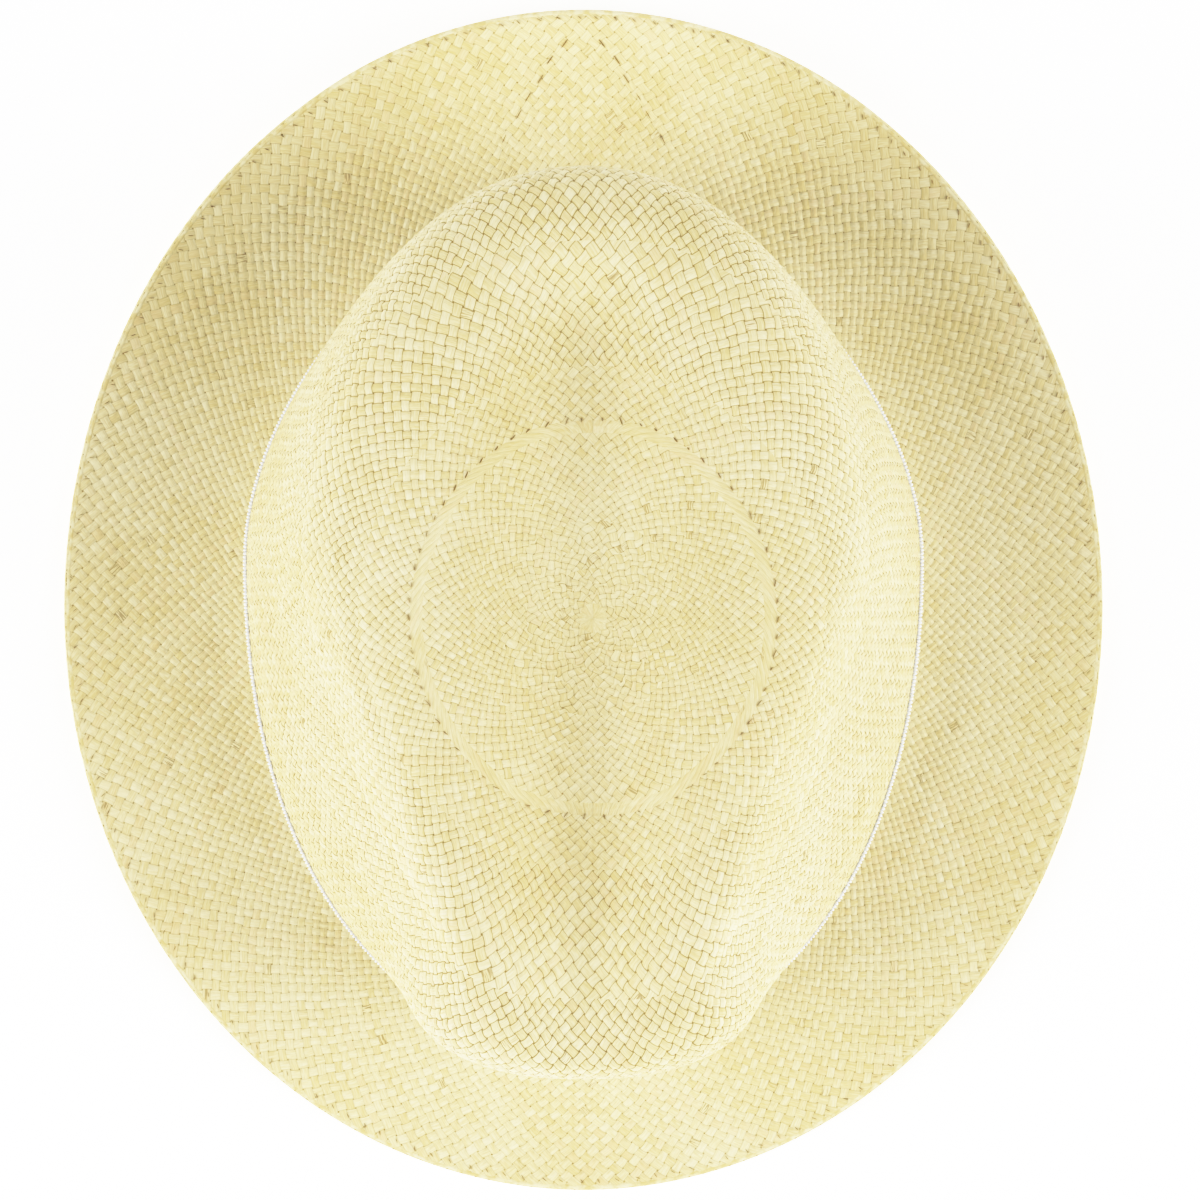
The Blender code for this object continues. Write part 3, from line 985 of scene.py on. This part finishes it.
class StageSettings(bpy.types.PropertyGroup):
    """Floor, lights and camera."""

    floor_colour: FloatVectorProperty(
        name="Floor", description="The floor's colour", subtype="COLOR", default=(0.93, 0.93, 0.93))
    floor_glow: FloatProperty(
        name="Floor glow", description="How strongly the lit floor shines by itself", default=0.44, min=0.0)
    camera_height: FloatProperty(
        name="Camera height", description="From the floor to the camera", default=0.78, unit="LENGTH")
    view_width: FloatProperty(
        name="View width", description="How much of the floor the picture takes in", default=0.315,
        unit="LENGTH")
    lamp_distance: FloatProperty(
        name="Lamp distance", description="From the hat to each lamp", default=1.3, unit="LENGTH")
    lamp_size: FloatProperty(
        name="Lamp size", description="Width of each soft lamp", default=0.6, unit="LENGTH")
    front_power: FloatProperty(
        name="Low front lamps", description="Power of each lamp low beside the hat's front, in watts",
        default=4.9)
    side_power: FloatProperty(
        name="Side lamps", description="Power of each lamp at the sides, in watts", default=4.4)
    high_power: FloatProperty(
        name="High side lamps", description="Power of each lamp high at the sides, in watts", default=3.9)
    rear_power: FloatProperty(
        name="Rear lamps", description="Power of each lamp low behind the hat, in watts", default=2.4)
    world_light: FloatProperty(
        name="Light all round", description="Strength of the even light", default=0.22)


class FEDORA_OT_straw(bpy.types.Operator):
    """Weave the outer straw: the crown's top and wall and the brim"""

    bl_idname = "fedora.straw"
    bl_label = "Outer straw"

    def execute(self, context):
        settings = context.scene.fedora_straw
        sheet = Sheet(under=False)
        for zone in ZONES:
            sheet.weave(zone, settings.per_strand, settings.strand_height,
                        lambda level: 0 if level < CROWN_SPLIT else 1 if level < 2.0 else 2)
        woven_pieces(sheet, ("crown_top", "crown_wall", "brim"), straw_material(settings), False)
        return {"FINISHED"}


class FEDORA_OT_inside(bpy.types.Operator):
    """Weave the straw's inner face, inside the crown and under the brim"""

    bl_idname = "fedora.inside"
    bl_label = "Inner straw"

    def execute(self, context):
        settings = context.scene.fedora_straw
        sheet = Sheet(under=True)
        for zone in UNDER_ZONES:
            sheet.weave(zone, settings.under_steps, settings.strand_height * UNDER_RELIEF,
                        lambda level: 0 if level < 2.0 else 1)
        woven_pieces(sheet, ("crown_inside", "brim_underside"), bpy.data.materials["woven_straw"], True)
        return {"FINISHED"}


def edge_tree():
    """Geometry Nodes that turn a closed line into a round roll."""
    nodes, given = new_tree("rolled_edge", {"Roll radius": 0.001, "Straw": None})
    line = nodes.add("GeometryNodeMeshToCurve", given["Geometry"]).outputs[0]
    ring = nodes.add("GeometryNodeCurvePrimitiveCircle", EDGE_SIDES, sockets={"Radius": given["Roll radius"]})
    tube = nodes.add("GeometryNodeCurveToMesh", line, ring.outputs[0]).outputs[0]
    return nodes.finish(tube, given["Straw"])


class FEDORA_OT_edge(bpy.types.Operator):
    """Roll the brim's edge"""

    bl_idname = "fedora.edge"
    bl_label = "Brim edge"

    def execute(self, context):
        settings = context.scene.fedora_edge
        straw = context.scene.fedora_straw
        form = hat_form()
        turns = form.grid[:-1]
        outward = form.outward(turns, form.edge - EDGE_NORMAL_INSET)
        middle = form.at_distance(turns, form.edge - EDGE_INSET) - outward * (STRAW_WALL / 2)
        middle[:, 2] = np.maximum(middle[:, 2], settings.roll)
        line = bpy.data.meshes.new("edge_path")
        line.from_pydata(middle.tolist(), [(i, (i + 1) % AZIMUTHS) for i in range(AZIMUTHS)], [])
        material = edge_material("rolled_edge", straw.pale_straw, straw.warm_straw)
        made = run_tree(new_object("edge_path", line), edge_tree(),
                        {"Roll radius": settings.roll, "Straw": material})
        tree_piece("brim_edge", made, "straw_body")
        return {"FINISHED"}


def marks_tree():
    """Geometry Nodes that set a small long bead into the straw at each given point."""
    nodes, given = new_tree("straw_marks", {"Radius": 0.00024, "Straw": None})
    bead = nodes.add("GeometryNodeMeshUVSphere", 8, 5, sockets={"Radius": given["Radius"]})
    outward, forward, stretch = (
        nodes.stored(name, "FLOAT_VECTOR") for name in ("outward", "forward", "stretch"))
    turn = nodes.add("FunctionNodeAxesToRotation", outward, forward, primary_axis="Z", secondary_axis="X")
    set_out = nodes.add("GeometryNodeInstanceOnPoints", given["Geometry"], sockets={
        "Instance": bead.outputs[0], "Rotation": turn.outputs[0], "Scale": stretch})
    return nodes.finish(set_out.outputs[0], given["Straw"])


def slit_rows(form, settings):
    """Each slit's azimuth, distance from the rosette, lean, length and share of a full slit's width."""
    chance = np.random.default_rng(7)
    turns = form.columns(round(form.lengths(3.0)[-1] / settings.stitch_gap), 3.0)
    turns = turns + chance.uniform(-STITCH_STRAY, STITCH_STRAY, len(turns))
    rows = [(turns, form.round_value(form.edge, turns) - settings.stitch_inset,
             chance.uniform(0.3, 1.1, len(turns)), np.full(len(turns), settings.stitch_length),
             np.full(len(turns), settings.thin_share))]
    turns = (np.arange(RING_SLITS) / RING_SLITS * math.tau
             + chance.uniform(-SLIT_STRAY, SLIT_STRAY, RING_SLITS))
    side = np.clip(LEAN_CHANGE * np.cos(turns), -1.0, 1.0)
    rows.append((turns, np.full(RING_SLITS, RING_REACH), side * SLIT_LEAN,
                 settings.slit_length * chance.uniform(0.3, 1.1, RING_SLITS),
                 settings.thin_share * chance.uniform(0.4, 1.2, RING_SLITS)))
    for hand in (-1.0, 1.0):
        x = hand * SEAM_DASHES[:, 0]
        turns = np.arctan2(SEAM_DASHES[:, 1] - ROSETTE[1], x - ROSETTE[0])
        ahead = np.hypot(x - ROSETTE[0], SEAM_DASHES[:, 1] - ROSETTE[1])
        rows.append((turns, form.reach_at(turns, ahead), np.full(len(turns), hand * DASH_LEAN),
                     np.full(len(turns), DASH_LENGTH * settings.slit_length), np.full(len(turns), DASH_WIDTH)))
    return [np.concatenate(column) for column in zip(*rows)]


class FEDORA_OT_marks(bpy.types.Operator):
    """Set the dark slits: the edge's finishing stitches, the outer ring's and the rear brim's"""

    bl_idname = "fedora.marks"
    bl_label = "Stitches and slits"

    def execute(self, context):
        settings = context.scene.fedora_edge
        straw = context.scene.fedora_straw
        form = hat_form()
        turns, reach, lean, length, width = slit_rows(form, settings)
        outward = form.outward(turns, reach)
        ahead = form.at_distance(turns, reach + 0.0005) - form.at_distance(turns, reach - 0.0005)
        ahead /= np.linalg.norm(ahead, axis=1, keepdims=True)
        around = np.cross(outward, ahead)
        forward = ahead * np.cos(lean)[:, None] + around * np.sin(lean)[:, None]
        places = form.at_distance(turns, reach) + outward * settings.stitch_rise
        mesh = bpy.data.meshes.new("marks")
        mesh.from_pydata(places.tolist(), [], [])
        radius = settings.stitch_radius
        stretch = np.stack([length / 2 / radius, width, np.full(len(length), SLIT_HEIGHT)], -1)
        store(mesh, outward=outward, forward=forward, stretch=stretch)
        # The slits are dark beads: painted shade in the straw's openings, mixed with brown flecks
        material = edge_material("edge_notches", straw.painted_shade_colour, straw.fleck_colour)
        made = run_tree(new_object("marks", mesh), marks_tree(), {"Radius": radius, "Straw": material})
        tree_piece("dark_slits", made, "straw_body")
        return {"FINISHED"}


def ribs_tree():
    """Geometry Nodes that raise the ribs on the outer side of the ribbon."""
    nodes, given = new_tree("ribbon_ribs", {"Rib height": 0.0002, "Ribbon": None})
    part = off_middle(nodes, nodes.math("FRACT", nodes.stored("rib")))
    wave = nodes.math("SUBTRACT", 1.0, nodes.math("POWER", part, 2.0))
    rise = nodes.math("MULTIPLY", nodes.math("MULTIPLY", wave, given["Rib height"]), nodes.stored("outer_side"))
    normal = nodes.add("GeometryNodeInputNormal").outputs[0]
    return nodes.finish(nodes.moved(given["Geometry"], normal, rise), given["Ribbon"])


def ribbon_loops(form, settings):
    """The ribbon without its ribs, as closed loops of points: down its inner side, then up its outer side."""
    girth = np.linalg.norm(np.diff(form.at_distance(form.grid[:-1], form.foot), axis=0), axis=1).sum()
    wide = RIB_STEPS * round(girth / settings.rib_pitch)
    turns = form.columns(wide, 2.0)
    tops = form.round_value(form.band_top, turns)
    feet = form.round_value(form.band_foot, turns)
    reaches = np.linspace(*RIBBON_TRACE, 200)
    foot = form.round_value(form.foot, turns)
    heights = np.array([form.at_distance(turns, foot + reach)[:, 2] for reach in reaches])
    traced = range(0, wide, TRACE_STEP)
    lines = []
    for share in RIBBON_SHARES:
        wanted = tops + (feet - tops) * share
        place = np.array([np.interp(-wanted[k], -heights[:, k], reaches) for k in traced])
        lines.append(foot + np.interp(np.arange(wide), traced, place, period=wide))
    rear = (turns - math.pi / 2 + math.pi) % math.tau - math.pi
    lap = smooth_step(np.abs(rear), LAP_FROM, LAP_FULL) * settings.lap
    loops = []
    for line, full in [(line, 0.0) for line in lines] + list(zip(lines, RIBBON_FULLNESS))[::-1]:
        flat = form.outward(turns, line) * np.array([1.0, 1.0, 0.0])
        flat /= np.linalg.norm(flat, axis=1, keepdims=True)
        depth = settings.gap + full * (settings.thickness + lap)
        loops.append(form.at_distance(turns, line) + flat * depth[:, None])
    return np.array(loops)


class FEDORA_OT_ribbon(bpy.types.Operator):
    """Wrap the ribbed ribbon round the foot of the crown"""

    bl_idname = "fedora.ribbon"
    bl_label = "Ribbon"

    def execute(self, context):
        settings = context.scene.fedora_ribbon
        loops = ribbon_loops(hat_form(), settings)
        count, wide = loops.shape[:2]
        rows = len(RIBBON_SHARES)
        i, j = (index.ravel() for index in np.meshgrid(np.arange(wide), np.arange(count)))
        next_loop = (j + 1) % count

        def corner(column, row):
            return row * wide + column % wide

        def place(column, row):
            drop = RIBBON_SHARES[np.where(row < rows, row, 2 * rows - 1 - row)]
            return np.stack([column / RIB_STEPS, drop * RIBBON_PATTERN], -1)

        ways = (((i, j), (i, next_loop), (i + 1, next_loop)), ((i, j), (i + 1, next_loop), (i + 1, j)))
        triangles, corners = (
            np.concatenate([np.stack([made(*c) for c in way], 1)[:, ::-1] for way in ways])
            for made in (corner, place))
        mesh = new_mesh("ribbon_base", loops.reshape(-1, 3), triangles, corners, layer="ribs")
        store(mesh, rib=np.tile(np.arange(wide) / RIB_STEPS, count),
              outer_side=np.repeat((np.arange(count) >= rows).astype(float), wide))
        made = run_tree(new_object("ribbon_base", mesh), ribs_tree(),
                        {"Rib height": settings.rib_height, "Ribbon": ribbon_material(settings)})
        tree_piece("ribbon", made, "hat_band")
        return {"FINISHED"}


def soft_light(name, turn, elevation, distance, size, power):
    """A square soft light that looks at the hat, turned so far from the hat's front towards +X."""
    data = bpy.data.lights.new(name, "AREA")
    data.shape = "SQUARE"
    data.size = size
    data.energy = power
    lamp = new_object(name, data)
    away = Vector((math.sin(turn) * math.cos(elevation),
                   -math.cos(turn) * math.cos(elevation),
                   math.sin(elevation)))
    lamp.location = distance * away + Vector((0.0, 0.0, LAMP_AIM))
    lamp.rotation_euler = away.to_track_quat("Z", "Y").to_euler()


class FEDORA_OT_stage(bpy.types.Operator):
    """Set the floor, the lights and the camera"""

    bl_idname = "fedora.stage"
    bl_label = "Stage"

    def execute(self, context):
        settings = context.scene.fedora_stage
        corners = np.array([[-1.0, -1.0], [1.0, -1.0], [1.0, 1.0], [-1.0, 1.0]]) * FLOOR_REACH
        points = np.column_stack([corners, np.full(4, -FLOOR_DROP)])
        mesh = new_mesh("floor", points, np.array([[0, 1, 2], [0, 2, 3]]))
        material, _, shader = new_material("floor")
        shader.inputs["Base Color"].default_value = (*settings.floor_colour, 1.0)
        shader.inputs["Roughness"].default_value = 0.9
        shader.inputs["Specular IOR Level"].default_value = 0.0
        shader.inputs["Emission Color"].default_value = (1.0, 1.0, 1.0, 1.0)
        shader.inputs["Emission Strength"].default_value = settings.floor_glow
        mesh.materials.append(material)
        new_object("floor", mesh)

        for name, turn, elevation, setting in LAMPS:
            for hand, side in (("left", -1.0), ("right", 1.0)):
                soft_light(f"{name}_{hand}", math.radians(side * turn), math.radians(elevation),
                           settings.lamp_distance, settings.lamp_size, getattr(settings, setting))
        world = bpy.data.worlds.new("studio")
        world.use_nodes = True
        back = world.node_tree.nodes["Background"]
        back.inputs["Color"].default_value = (1.0, 1.0, 1.0, 1.0)
        back.inputs["Strength"].default_value = settings.world_light
        context.scene.world = world
        view = context.scene.view_settings
        view.view_transform = "Standard"
        view.use_curve_mapping = True
        view.curve_mapping.white_level = (TONES_TOP, TONES_TOP, TONES_TOP)
        curve = view.curve_mapping.curves[3]
        for light, tone in TONES:
            curve.points.new(light / TONES_TOP, tone)
        view.curve_mapping.update()

        camera = bpy.data.cameras.new("camera")
        camera.sensor_width = SENSOR
        camera.lens = SENSOR * settings.camera_height / settings.view_width
        camera.shift_x = PICTURE_SHIFT
        camera.dof.use_dof = False
        eye = new_object("camera", camera)
        eye.location = (0.0, CAMERA_ALONG, settings.camera_height)
        context.scene.camera = eye
        return {"FINISHED"}


class FEDORA_PT_panel(bpy.types.Panel):
    """Lists the pieces and their settings"""

    bl_idname = "FEDORA_PT_panel"
    bl_label = "Straw Fedora"
    bl_space_type = "VIEW_3D"
    bl_region_type = "UI"
    bl_category = "Fedora"

    def draw(self, context):
        layout = self.layout
        for operators, settings in (
            ((FEDORA_OT_straw, FEDORA_OT_inside), context.scene.fedora_straw),
            ((FEDORA_OT_edge, FEDORA_OT_marks), context.scene.fedora_edge),
            ((FEDORA_OT_ribbon,), context.scene.fedora_ribbon),
            ((FEDORA_OT_stage,), context.scene.fedora_stage),
        ):
            box = layout.box()
            for name in settings.bl_rna.properties.keys():
                if name not in {"rna_type", "name"}:
                    box.prop(settings, name)
            for operator in operators:
                box.operator(operator.bl_idname)


CLASSES = (
    StrawSettings, EdgeSettings, RibbonSettings, StageSettings,
    FEDORA_OT_straw, FEDORA_OT_inside, FEDORA_OT_edge, FEDORA_OT_marks, FEDORA_OT_ribbon, FEDORA_OT_stage,
    FEDORA_PT_panel,
)
GROUPS = (
    ("fedora_straw", StrawSettings), ("fedora_edge", EdgeSettings), ("fedora_ribbon", RibbonSettings),
    ("fedora_stage", StageSettings),
)


def register():
    for cls in CLASSES:
        bpy.utils.register_class(cls)
    for name, group in GROUPS:
        setattr(bpy.types.Scene, name, PointerProperty(type=group))


def unregister():
    for name, _ in GROUPS:
        delattr(bpy.types.Scene, name)
    for cls in reversed(CLASSES):
        bpy.utils.unregister_class(cls)


def main():
    register()
    bpy.ops.fedora.straw()
    bpy.ops.fedora.inside()
    bpy.ops.fedora.edge()
    bpy.ops.fedora.marks()
    bpy.ops.fedora.ribbon()
    bpy.ops.fedora.stage()


if __name__ == "__main__":
    main()
